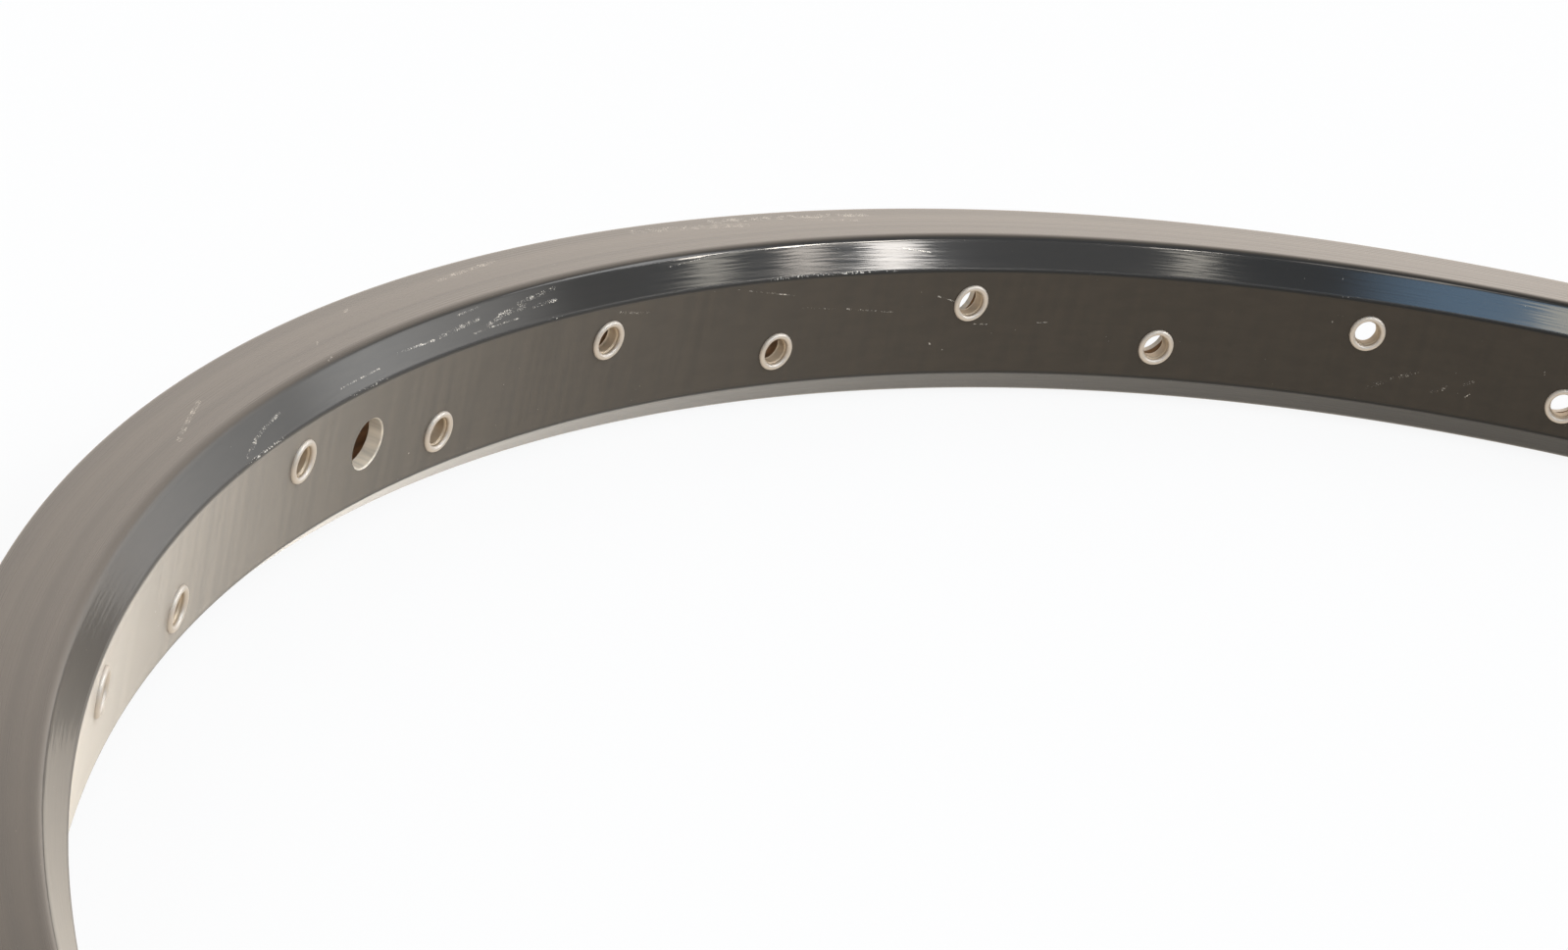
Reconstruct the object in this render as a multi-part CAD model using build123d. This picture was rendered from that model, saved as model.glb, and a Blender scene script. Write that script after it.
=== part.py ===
from build123d import *
import math
import os

# Bicycle rim, a hollow aluminium hoop with an eyelet in each spoke hole. It lies on its side with the wheel's axle
# line on Z, the middle of its width at Z = 0 and the valve hole on -X. Millimetres and degrees.

# Rim section, radial sizes measured from the bead seat
BEAD_SEAT_DIAMETER = 507.0
FLANGE_HEIGHT = 6.2
BED_DROP = 10.5
WELL_DROP = 3.0
SHOULDER_RISE = 4.1

# Rim section, sizes across the width
INNER_WIDTH = 25.0
HOOK_DEPTH = 1.3
FLANGE_WALL = 2.0
SEAT_WIDTH = 3.8
WELL_SLOPE_RUN = 1.8
SHOULDER_RUN = 5.35

# Lip, hook and the eased corner between shoulder and side
HOOK_HEIGHT = 2.2
LIP_BEVEL = 0.8
HOOK_BEVEL = 0.6
SHOULDER_BEVEL = 0.5

# Walls of the hollow box
BED_WALL = 2.6
SHOULDER_WALL = 1.8
SIDE_WALL = 1.8
TYRE_BED_WALL = 1.3

# Drilling
SPOKE_COUNT = 36
SPOKE_STAGGER = 3.85
ACCESS_STAGGER = 2.95
ACCESS_DIAMETER = 9.4
VALVE_DIAMETER = 8.5
VALVE_DEBURR = 0.4
VALVE_ANGLE = 180.0

# Eyelet
EYELET_BORE = 4.6
EYELET_WALL = 0.5
EYELET_FLANGE = 0.82
EYELET_CROWN = 0.6
EYELET_FUNNEL = 0.4
EYELET_LIP = 0.45
EYELET_LIP_RISE = 0.5
EYELET_HOLE_CLEARANCE = 0.05

# Butt seam opposite the valve hole, and the sleeve inside it
SEAM_GAP = 0.1
SLEEVE_CLEARANCE = 0.1
SLEEVE_END_GAP = 2.0

# Worked out from the sizes above
seat_radius = BEAD_SEAT_DIAMETER / 2
lip_radius = seat_radius + FLANGE_HEIGHT
bed_radius = seat_radius - BED_DROP
well_radius = seat_radius - WELL_DROP
shoulder_radius = bed_radius + SHOULDER_RISE
hook_half = INNER_WIDTH / 2
flange_half = hook_half + HOOK_DEPTH
half_width = flange_half + FLANGE_WALL
bed_half = half_width - SHOULDER_RUN
slope_half = flange_half - SEAT_WIDTH
well_half = slope_half - WELL_SLOPE_RUN
bed_back_radius = bed_radius + BED_WALL
well_back_radius = well_radius - TYRE_BED_WALL
seat_back_radius = seat_radius - TYRE_BED_WALL
mid_hollow_radius = (bed_back_radius + well_back_radius) / 2
spoke_pitch = 360 / SPOKE_COUNT
seam_angle = VALVE_ANGLE + 180
barrel_radius = EYELET_BORE / 2 + EYELET_WALL
spoke_hole_radius = barrel_radius + EYELET_HOLE_CLEARANCE
flange_radius = barrel_radius + EYELET_FLANGE
access_radius = ACCESS_DIAMETER / 2
valve_radius = VALVE_DIAMETER / 2


def both_sides(half_outline):
    """A closed face in the XZ plane from the outline of its upper half, mirrored to the lower half."""
    lower = [(radius, -height) for radius, height in reversed(half_outline)]
    return Plane.XZ * make_face(Polyline(*half_outline, *lower, close=True))


def outer_section():
    """Outside of the extrusion: bed, bevelled shoulders, flat sides, hooked lips, bead seats and the drop centre."""
    hook_foot = lip_radius - HOOK_HEIGHT
    shoulder_share = SHOULDER_BEVEL / math.hypot(SHOULDER_RISE, SHOULDER_RUN)
    return both_sides([
        (bed_radius, bed_half),
        (shoulder_radius - shoulder_share * SHOULDER_RISE, half_width - shoulder_share * SHOULDER_RUN),
        (shoulder_radius + SHOULDER_BEVEL, half_width),
        (lip_radius - LIP_BEVEL, half_width),
        (lip_radius, half_width - LIP_BEVEL),
        (lip_radius, hook_half + HOOK_BEVEL),
        (lip_radius - HOOK_BEVEL, hook_half),
        (hook_foot, hook_half),
        (hook_foot - HOOK_DEPTH, flange_half),
        (seat_radius, flange_half),
        (seat_radius, slope_half),
        (well_radius, well_half),
    ])


def hollow_section():
    """Hollow of the extrusion, each face parallel to the outside face that it backs."""
    shoulder_lean = SHOULDER_RUN / SHOULDER_RISE
    shoulder_shift = SHOULDER_WALL * math.hypot(1, shoulder_lean)
    slope_lean = WELL_SLOPE_RUN / WELL_DROP
    slope_shift = TYRE_BED_WALL * math.hypot(1, slope_lean)
    side_half = half_width - SIDE_WALL
    bed_back_half = bed_half + BED_WALL * shoulder_lean - shoulder_shift
    shoulder_back_radius = bed_radius + (side_half - bed_half + shoulder_shift) / shoulder_lean
    return both_sides([
        (bed_back_radius, bed_back_half),
        (shoulder_back_radius, side_half),
        (seat_back_radius, side_half),
        (seat_back_radius, slope_half - TYRE_BED_WALL * slope_lean + slope_shift),
        (well_back_radius, well_half - TYRE_BED_WALL * slope_lean + slope_shift),
    ])


def round_cut(radius, near, far):
    """A drill's cut along +X, between two distances from the wheel's axle line."""
    return Pos((near + far) / 2, 0, 0) * Rot(0, 90, 0) * Cylinder(radius, far - near)


def around(shape, angle, height):
    """The shape, made on +X, raised and carried round the wheel."""
    return Rot(0, 0, angle) * Pos(0, 0, height) * shape


def spoke_places():
    """Angle and side of each spoke hole: even pitch, the first half a pitch past the valve hole, sides in turn."""
    for index in range(SPOKE_COUNT):
        yield VALVE_ANGLE + (index + 0.5) * spoke_pitch, 1 - 2 * (index % 2)


def rim_hoop():
    """The rolled extrusion with its butt seam, drilled for spokes, spoke access and valve."""
    seam_turn = math.degrees(SEAM_GAP / bed_radius)
    section = Rot(0, 0, seam_angle + seam_turn / 2) * (outer_section() - hollow_section())
    hoop = revolve(section, Axis.Z, 360 - seam_turn)
    spoke_cut = round_cut(spoke_hole_radius, bed_radius - BED_WALL, mid_hollow_radius)
    access_cut = round_cut(access_radius, mid_hollow_radius, lip_radius)
    valve_cut = round_cut(valve_radius, bed_radius - BED_WALL, lip_radius)
    deburr = Cone(valve_radius + 2 * VALVE_DEBURR, valve_radius, 2 * VALVE_DEBURR)
    deburr_cut = Pos(bed_radius, 0, 0) * Rot(0, 90, 0) * deburr
    cuts = [around(valve_cut, VALVE_ANGLE, 0), around(deburr_cut, VALVE_ANGLE, 0)]
    for angle, side in spoke_places():
        cuts.append(around(spoke_cut, angle, side * SPOKE_STAGGER))
        cuts.append(around(access_cut, angle, side * ACCESS_STAGGER))
    return hoop - cuts


def joint_sleeve():
    """Plug in the hollow across the butt seam, ending short of the drilled holes on each side."""
    section = offset(hollow_section(), -SLEEVE_CLEARANCE, kind=Kind.INTERSECTION)
    half_turn = spoke_pitch / 2 - math.degrees((access_radius + SLEEVE_END_GAP) / well_back_radius)
    return revolve(Rot(0, 0, seam_angle - half_turn) * section, Axis.Z, 2 * half_turn)


def eyelet():
    """One eyelet on +X: a crowned flange that bears on the bed, a funnel mouth, and a barrel swaged over at its end."""
    flange_seat = math.sqrt(bed_radius**2 - flange_radius**2)
    bore_radius = EYELET_BORE / 2
    outline = Polyline(
        (flange_seat, barrel_radius),
        (flange_seat, flange_radius),
        (flange_seat - EYELET_CROWN, (flange_radius + bore_radius) / 2),
        (flange_seat + EYELET_FUNNEL, bore_radius),
        (bed_back_radius, bore_radius),
        (bed_back_radius + EYELET_LIP_RISE, barrel_radius + EYELET_LIP),
        (bed_back_radius, barrel_radius),
        close=True,
    )
    return revolve(make_face(outline), Axis.X, 360)


def eyelets():
    """An eyelet in each spoke hole."""
    one = eyelet()
    return Compound(children=[around(one, angle, side * SPOKE_STAGGER) for angle, side in spoke_places()])


os.makedirs("parts", exist_ok=True)
export_step(rim_hoop(), "parts/rim_hoop.step")
export_step(joint_sleeve(), "parts/joint_sleeve.step")
export_step(eyelets(), "parts/eyelets.step")
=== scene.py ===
import math

import bpy
import numpy as np
from bpy.props import FloatProperty, FloatVectorProperty, IntProperty, PointerProperty
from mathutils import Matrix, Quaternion, Vector


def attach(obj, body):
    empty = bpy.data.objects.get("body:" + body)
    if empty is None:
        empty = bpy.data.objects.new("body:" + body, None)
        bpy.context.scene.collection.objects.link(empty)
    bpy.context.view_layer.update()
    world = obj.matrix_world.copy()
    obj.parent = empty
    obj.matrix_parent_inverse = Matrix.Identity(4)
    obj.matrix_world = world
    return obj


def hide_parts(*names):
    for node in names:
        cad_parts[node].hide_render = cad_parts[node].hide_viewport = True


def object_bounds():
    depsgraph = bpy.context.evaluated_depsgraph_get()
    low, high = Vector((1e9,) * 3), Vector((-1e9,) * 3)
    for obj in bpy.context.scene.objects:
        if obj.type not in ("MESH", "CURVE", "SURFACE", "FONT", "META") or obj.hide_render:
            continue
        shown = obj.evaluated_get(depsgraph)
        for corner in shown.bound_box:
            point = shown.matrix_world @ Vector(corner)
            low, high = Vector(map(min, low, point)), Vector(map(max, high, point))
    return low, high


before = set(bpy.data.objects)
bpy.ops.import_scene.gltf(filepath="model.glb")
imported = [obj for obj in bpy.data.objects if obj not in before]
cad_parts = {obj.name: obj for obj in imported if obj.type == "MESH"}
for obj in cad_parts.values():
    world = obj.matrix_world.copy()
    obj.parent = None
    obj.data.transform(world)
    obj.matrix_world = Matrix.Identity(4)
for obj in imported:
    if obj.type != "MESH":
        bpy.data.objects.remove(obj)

bl_info = {
    "name": "Bicycle rim",
    "version": (1, 0, 0),
    "blender": (4, 5, 0),
    "location": "3D View > Sidebar > Rim",
    "description": "A double-wall bicycle rim with eyelets and a joint sleeve, on a plain pale stage",
    "category": "Add Mesh",
}

# The solid model's box, and the floor that the rim lies on, in metres
CAD_LOW, CAD_HIGH = [list(corner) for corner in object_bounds()]
FLOOR_HEIGHT = CAD_LOW[2]
FLOOR_REACH = 20.0
FLOOR_LINES = 9
MILLIMETRE = 0.001

# Fineness of the grids
SECTOR_STEPS = 14
VALVE_STEPS = 16
WIDTH_STEPS = 12
CORNER_STEPS = 4
EYELET_STEPS = 40
CROWN_STEPS = 17

# Points that guard a rounded corner, as a share of its set-back, and the step to which points are welded
GUARD = 0.4
WELD = 1e-7

# Edges sharper than these angles stay crisp
HOOP_CREASE = math.radians(32)
EYELET_CREASE = math.radians(50)

# Drilled bands: rings as shares of the way from a hole to the band's edge, the parts of the spokes' pitch of
# which the valve hole's band takes one on each side, and a place across that sets the tyre side apart
FINE_RINGS = (0, 0.05, 0.15, 0.35, 0.65, 0.93, 1)
COARSE_RINGS = (0, 0.5, 1)
PITCH_PARTS = 6
TYRE_SIDE = 0.1

# Stepped mouth of an eyelet, as shares of its widening, of its depth and of the lip's rise
MOUTH_LEAN = 0.1
SHELF_WIDTH = 0.5
SHELF_TOP = 0.45
SHELF_FOOT = 0.55
MOUTH_EASE = 0.2
FLARE_START = 0.4

# Finishes of the hoop's faces, by material slot
ANODISED, DRILLED, UNDYED = 0, 1, 2

# Noise: limits of a line, the layer of its bands, the mean, and the softness of a fleck's edge
LINE_LIMITS = (0.32, 0.68)
BAND_LAYER = 7.0
NOISE_MEAN = 0.5
FLECK_EDGE = 0.04

# Film of the hoop, in metres: soft edge of its zones, half of the blend from lower to upper shoulder, and the
# distance of the chipped line from the bed's edge; then how far the edge is knocked everywhere
ZONE_EDGE = 0.0003
MIDDLE_BLEND = 0.001
CHIP_LINE = 0.0006
LIGHTLY_KNOCKED = 0.1

# Rubs and scratches in the film, each from one place to another: degrees round the hoop and millimetres
# across its section from the middle of the bed, then the mark's width in millimetres and the film's loss
WEAR_MARKS = (
    (157.9, 9.4, 156.3, 8.2, 0.25, 0.55), (156.3, 8.2, 154.6, 7, 0.35, 0.6),
    (154, 4.4, 152.2, 3.7, 0.45, 0.52), (151.6, 3.5, 149, 2.3, 0.5, 0.55),
    (164.6, 8.8, 162.9, 7.6, 0.9, 0.55), (146.8, 5.3, 145.7, 4, 0.5, 0.6),
    (144.6, -0.4, 143.9, -0.5, 0.4, 0.6), (141.3, 0, 140.8, 0.1, 0.3, 0.6),
    (146.7, -4.2, 146.6, -4.5, 0.4, 0.7), (124.3, -7.4, 123.2, -4.6, 1.6, 0.52),
    (122.9, -4.2, 122.1, -2.2, 1.6, 0.52), (121.2, -6.2, 120.6, -4.6, 1.8, 0.53),
    (119.8, -3.4, 119.4, -2.4, 1.2, 0.55), (119.6, -6, 119.4, -5.2, 0.4, 0.6),
    (148.8, 14.8, 147.4, 14, 0.3, 0.72), (161.5, 15.2, 158.6, 16.2, 0.3, 0.58),
    (172.6, 12.6, 171, 13.8, 1.2, 0.58), (171.6, 13.7, 170, 13.9, 1.6, 0.57),
    (170.4, 14.6, 168.1, 15.6, 1.2, 0.56), (169.6, 13.4, 168.2, 13.6, 1, 0.58),
    (173.4, 12.1, 170.6, 12.3, 0.5, 0.62), (175.4, 13.4, 172.8, 14.2, 1.2, 0.57),
    (178.2, 13.6, 175.8, 13.3, 0.6, 0.62), (174, 15.8, 172.6, 16, 0.6, 0.6),
    (182.3, 12.5, 179.6, 12.6, 0.5, 0.6), (189.6, 11.7, 188.3, 13.3, 1.4, 0.6),
    (188.3, 13.3, 186.5, 14.2, 1, 0.6), (192.1, 20.6, 190.6, 22.2, 1.3, 0.59),
    (190.6, 22.2, 188.8, 24, 1.2, 0.6), (161.2, 27.4, 155.6, 25.2, 3, 0.57),
    (157, 27.6, 149.2, 26.6, 3, 0.58), (152.5, 25.4, 149.8, 24.4, 1.6, 0.55),
    (172.5, 25.6, 169, 26.6, 1.6, 0.58), (178.1, 26, 177.7, 26.6, 0.8, 0.64),
    (181.4, 21.6, 181.2, 22, 0.6, 0.64), (182.2, 17.3, 181.9, 17.6, 0.5, 0.66),
)

# Stretches of the bed's edge that were knocked, in degrees round the hoop
EDGE_WEAR = ((150.0, 157.5), (178.5, 182.5), (186.0, 190.0))

# Sockets of a Mix node that blends colours, and plain white
MIX_SHARE, MIX_FIRST, MIX_SECOND, MIX_RESULT = 0, 6, 7, 2
WHITE = (1.0, 1.0, 1.0, 1.0)

# Camera that stands where the photograph was taken, for a picture of this many pixels
PICTURE_WIDTH, PICTURE_HEIGHT = 1599, 969
PICTURE_AXIS = (783.1, 478.75)
FOCAL_LENGTH_PIXELS = 3792.9
SENSOR_WIDTH = 36.0
CAMERA_PLACE = (0.01116, -0.47338, 0.24517)
CAMERA_AZIMUTH, CAMERA_ELEVATION, CAMERA_ROLL = 111.556, -23.653, 13.154
CLIP_START = 0.01

# Light of the dome from the floor up: elevation in degrees and strength
DOME_LEVELS = ((0, 0.45), (22, 0.64), (58, 0.64), (76, 0.3))
DOME_TINT = (0.96, 1.0, 1.05)
ZENITH = 90.0

# Soft round glows in the dome: azimuth, elevation, radius of the even middle and of the soft edge in degrees,
# and colour
GLOWS = (
    (110, 25, 13, 42, (0.92, 0.8, 0.7)),
    (68, 12, 7, 22, (0.74, 0.8, 0.86)),
    (8, 45, 14, 40, (0.02, 0.08, 0.16)),
    (8, 42, 5, 13, (0.36, 0.36, 0.36)),
    (-33, 52, 1.5, 10.5, (1.5, 2.95, 5)),
    (97, 3, 4, 15, (0.28, 0.25, 0.22)),
    (54.5, 22, 2, 13, (1.8, 1.9, 2)),
)

# Window-like lights: azimuth, half width, lowest and highest elevation in degrees, and colour
WINDOWS = (
    (18, 1.9, 33, 40.5, (25, 25.8, 27)),
    (24.5, 2, 41, 45.5, (40, 40, 40)),
    (24.8, 1.3, 33, 39, (11, 10.9, 10.8)),
    (30.5, 1.3, 38.5, 42.5, (80, 80, 80)),
    (37.5, 1.2, 35.5, 39.5, (45, 45, 45)),
    (32, 1.2, 28, 37, (6, 6.1, 5.9)),
    (50, 9, 35, 45, (4, 4.3, 4.7)),
    (-5.8, 1.2, 43, 48, (8.6, 8.8, 8.6)),
    (1, 1.3, 49.5, 53.5, (44, 44, 44)),
    (-10, 9, 57, 67, (5, 5, 5)),
    (-40.5, 5, 46, 74, (6.6, 5.8, 3.8)),
)
WINDOW_EDGE = 1.0


def length(name, description, default):
    """A size in metres that a user may change."""
    return FloatProperty(
        name=name, description=description, default=default, min=0.0, precision=5, unit="LENGTH"
    )


def colour(name, description, default):
    """A colour that a user may change."""
    return FloatVectorProperty(
        name=name, description=description, default=default, size=3, min=0.0, max=1.0, subtype="COLOR"
    )


class RimSizes(bpy.types.PropertyGroup):
    """Sizes of the hoop's section and of its drilling."""

    seat_radius: length("Seat radius", "Radius of the bead seat", 0.2535)
    flange_height: length("Flange height", "Height of the lip above the bead seat", 0.0062)
    bed_drop: length("Bed drop", "Depth of the spoke bed below the bead seat", 0.0105)
    well_drop: length("Well drop", "Depth of the tyre well below the bead seat", 0.003)
    shoulder_rise: length("Shoulder rise", "Radial height of the bevelled shoulder", 0.0041)
    shoulder_run: length("Shoulder run", "Width of the bevelled shoulder", 0.00535)
    inner_width: length("Inner width", "Width between the hooks", 0.025)
    hook_depth: length("Hook depth", "Depth of the groove under each hook", 0.0013)
    hook_height: length("Hook height", "Height of each hook", 0.0022)
    flange_wall: length("Flange wall", "Wall beside the tyre's bead", 0.002)
    seat_width: length("Seat width", "Width of each bead seat", 0.0038)
    well_slope_run: length("Well slope", "Width of the slope down to the well", 0.0018)
    bed_wall: length("Bed wall", "Wall of the spoke bed", 0.0026)
    shoulder_wall: length("Shoulder wall", "Wall of the bevelled shoulder", 0.0018)
    side_wall: length("Side wall", "Wall of the flat side", 0.0018)
    tyre_bed_wall: length("Tyre bed wall", "Wall under the tyre", 0.0013)
    bed_round: length("Bed rounding", "Set-back between bed and shoulder", 0.00025)
    shoulder_round: length("Shoulder rounding", "Set-back between shoulder and side", 0.0009)
    lip_round: length("Lip rounding", "Set-back on the lips and the tyre side", 0.0004)
    well_round: length("Well rounding", "Set-back at the edge of the well", 0.00015)
    spoke_count: IntProperty(name="Spokes", description="Number of spoke holes", default=36, min=4)
    spoke_stagger: length("Spoke stagger", "Distance of the spoke holes from the middle of the bed", 0.00385)
    spoke_hole: length("Spoke hole", "Diameter of the spoke holes in the bed", 0.0057)
    access_stagger: length("Access stagger", "Distance of the access holes from the well's middle", 0.00295)
    access_hole: length("Access hole", "Diameter of the access holes in the well", 0.0094)
    valve_hole: length("Valve hole", "Diameter of the valve hole", 0.0085)
    valve_deburr: length("Valve deburr", "Width of the eased edge of the valve hole", 0.0002)
    seam_gap: length("Seam gap", "Gap of the butt seam opposite the valve hole", 0.0001)


class EyeletSizes(bpy.types.PropertyGroup):
    """Sizes of one eyelet."""

    bore: length("Bore", "Diameter of the eyelet's bore", 0.0046)
    wall: length("Wall", "Wall of the eyelet's barrel", 0.0005)
    flange: length("Flange", "Reach of the flange past the barrel", 0.00082)
    crown: length("Crown", "Height of the crowned flange above the bed", 0.0006)
    mouth: length("Mouth", "Widening of the mouth past the bore", 0.00025)
    mouth_depth: length("Mouth depth", "Depth of the stepped mouth below the bed", 0.00055)
    lip: length("Lip", "Reach of the swaged lip past the barrel", 0.00042)
    lip_rise: length("Lip rise", "Depth of the swaged lip behind the bed", 0.0005)


class RimFinish(bpy.types.PropertyGroup):
    """Colours of the metal finishes."""

    anodised: colour("Anodised", "Dye of the anodised hoop", (0.0235, 0.018, 0.0125))
    polished: colour("Polished", "Deeper dye of the polished shoulders", (0.006, 0.006, 0.006))
    bare: colour("Bare", "Bare aluminium where the hoop is scratched", (0.80, 0.75, 0.67))
    drilled: colour("Drilled", "Bare aluminium of the drilled holes", (0.94, 0.83, 0.68))
    plating: colour("Plating", "Plating of the eyelets", (0.74, 0.67, 0.59))
    # Darker, browner plating in the eyelets' bores: a painted reflection of the dark brown hollow
    bore: colour("Bore", "Tarnished plating inside the eyelets", (0.60, 0.50, 0.38))
    hollow: colour("Hollow", "Thin brown film inside the hoop", (0.82, 0.60, 0.41))
    sleeve: colour("Sleeve", "Extruded aluminium of the joint sleeve", (0.66, 0.66, 0.65))


class StageSettings(bpy.types.PropertyGroup):
    """Light of the stage."""

    floor: colour("Floor", "Colour of the floor", (0.86, 0.86, 0.855))
    mirrored: colour("Mirrored floor", "Warm white that reflections of the floor show", (1.0, 0.925, 0.82))
    white_share: FloatProperty(
        name="White share",
        description="Share of the floor that is plain white in view",
        default=0.9,
        min=0.0,
        max=1.0,
        subtype="FACTOR",
    )


def corner_rounded(corners, setbacks):
    """An open outline whose corners are eased: each inner corner C becomes the parabola
    (1-s)^2 A + 2s(1-s) C + s^2 B between the points A and B that lie the set-back away on its two sides.
    A point a little before A and one a little after B keep the flats beside it flat in the shading."""
    before = corners[:-2] - corners[1:-1]
    after = corners[2:] - corners[1:-1]
    before = before / np.linalg.norm(before, axis=1, keepdims=True)
    after = after / np.linalg.norm(after, axis=1, keepdims=True)
    middle = corners[1:-1][:, None]
    reach = np.asarray(setbacks)[:, None]
    start = middle + (reach * before)[:, None]
    end = middle + (reach * after)[:, None]
    share = np.linspace(0.0, 1.0, CORNER_STEPS)[None, :, None]
    arcs = (1 - share) ** 2 * start + 2 * share * (1 - share) * middle + share**2 * end
    lead = middle + ((1 + GUARD) * reach * before)[:, None]
    trail = middle + ((1 + GUARD) * reach * after)[:, None]
    eased = np.concatenate([lead, arcs, trail], axis=1)
    return np.concatenate([corners[:1], eased.reshape(-1, 2), corners[-1:]])


def run_length(outline):
    """Length along an outline at each of its points."""
    steps = np.linalg.norm(np.diff(outline, axis=0), axis=1)
    return np.concatenate([[0.0], np.cumsum(steps)])


def on_circle(radius, angle, height):
    """Points at a radius, angle and height about the wheel's axle line."""
    radius, angle, height = np.broadcast_arrays(radius, angle, height)
    return np.stack([radius * np.cos(angle), radius * np.sin(angle), height], axis=-1)


def grid_surface(points, along, across, slot=0, flip=False):
    """One surface from grids of points, the last two axes being rows and columns, with a quad between each
    four neighbours. Its faces look along row direction x column direction, or the other way when flipped."""
    shape = points.shape[:-1]
    number = np.arange(np.prod(shape)).reshape(shape)
    corners = [number[..., :-1, :-1], number[..., 1:, :-1], number[..., 1:, 1:], number[..., :-1, 1:]]
    faces = np.stack(corners, axis=-1).reshape(-1, 4)
    if flip:
        faces = faces[:, ::-1]
    along, across = np.broadcast_arrays(along, across)
    place = np.stack([np.broadcast_to(along, shape), np.broadcast_to(across, shape)], axis=-1)
    return points.reshape(-1, 3), faces, place.reshape(-1, 2), np.full(len(faces), slot)


def mesh_object(name, surfaces, materials, crease):
    """An object whose mesh joins the surfaces: points that fall together are welded, places along and across
    are its UV map, and edges sharper than the crease stay crisp."""
    points, faces, place, slots = zip(*surfaces)
    offsets = np.cumsum([0] + [len(part) for part in points])
    sides = np.concatenate([np.full(len(part), part.shape[1]) for part in faces])
    corner = np.concatenate([(part + start).ravel() for part, start in zip(faces, offsets)])
    points, place, slots = [np.concatenate(parts) for parts in (points, place, slots)]
    keys = np.round(points / WELD).astype(np.int64)
    _, kept, merged = np.unique(keys, axis=0, return_index=True, return_inverse=True)
    mesh = bpy.data.meshes.new(name)
    mesh.vertices.add(len(kept))
    mesh.vertices.foreach_set("co", points[kept].astype(np.float32).ravel())
    mesh.loops.add(len(corner))
    mesh.loops.foreach_set("vertex_index", merged.ravel()[corner].astype(np.int32))
    mesh.polygons.add(len(sides))
    mesh.polygons.foreach_set("loop_start", (np.cumsum(sides) - sides).astype(np.int32))
    mesh.polygons.foreach_set("material_index", slots.astype(np.int32))
    layer = mesh.uv_layers.new(name="place")
    layer.data.foreach_set("uv", place[corner].astype(np.float32).ravel())
    for material in materials:
        mesh.materials.append(material)
    mesh.update(calc_edges=True)
    if mesh.validate():
        raise RuntimeError(f"The faces of {name} don't make a sound mesh.")
    mesh.shade_smooth()
    mesh.set_sharp_from_angle(angle=crease)
    made = bpy.data.objects.new(name, mesh)
    bpy.context.scene.collection.objects.link(made)
    return made


class HoopSection:
    """The rim's section, worked out from its sizes: radii, half widths and the outlines of its upper half."""

    def __init__(self, sizes):
        self.lip_radius = sizes.seat_radius + sizes.flange_height
        self.bed_radius = sizes.seat_radius - sizes.bed_drop
        self.well_radius = sizes.seat_radius - sizes.well_drop
        self.bed_back = self.bed_radius + sizes.bed_wall
        self.well_back = self.well_radius - sizes.tyre_bed_wall
        self.hook_half = sizes.inner_width / 2
        self.flange_half = self.hook_half + sizes.hook_depth
        self.half_width = self.flange_half + sizes.flange_wall
        self.bed_half = self.half_width - sizes.shoulder_run
        self.slope_half = self.flange_half - sizes.seat_width
        self.well_half = self.slope_half - sizes.well_slope_run
        self.bed_edge = self.bed_half - (1 + GUARD) * sizes.bed_round
        self.shoulder_length = math.hypot(sizes.shoulder_rise, sizes.shoulder_run)
        self.outside = self.outside_outline(sizes)
        self.inside = self.inside_outline(sizes)

    def outside_outline(self, sizes):
        """Bed edge, shoulder, side, hooked lip, bead seat and slope to the well, as radius and height."""
        bed, lip, seat, well = self.bed_radius, self.lip_radius, sizes.seat_radius, self.well_radius
        side, hook, flange = self.half_width, self.hook_half, self.flange_half
        hook_foot = lip - sizes.hook_height
        corners = np.array([
            (bed, 0.0),
            (bed, self.bed_half),
            (bed + sizes.shoulder_rise, side),
            (lip, side),
            (lip, hook),
            (hook_foot, hook),
            (hook_foot - sizes.hook_depth, flange),
            (seat, flange),
            (seat, self.slope_half),
            (well, self.well_half),
            (well, 0.0),
        ])
        setbacks = np.full(len(corners) - 2, sizes.lip_round)
        setbacks[:2] = sizes.bed_round, sizes.shoulder_round
        setbacks[-1] = sizes.well_round
        return corner_rounded(corners, setbacks)[1:-1]

    def inside_outline(self, sizes):
        """Walls of the hollow, each parallel to the outside face that it backs, as radius and height."""
        lean = sizes.shoulder_run / sizes.shoulder_rise
        shift = sizes.shoulder_wall * math.hypot(1, lean)
        side = self.half_width - sizes.side_wall
        seat_back = sizes.seat_radius - sizes.tyre_bed_wall
        slope = sizes.well_slope_run / sizes.well_drop
        slope_shift = sizes.tyre_bed_wall * (math.hypot(1, slope) - slope)
        return np.array([
            (self.bed_back, self.bed_half + sizes.bed_wall * lean - shift),
            (self.bed_radius + (side - self.bed_half + shift) / lean, side),
            (seat_back, side),
            (seat_back, self.slope_half + slope_shift),
            (self.well_back, self.well_half + slope_shift),
        ])


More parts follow.
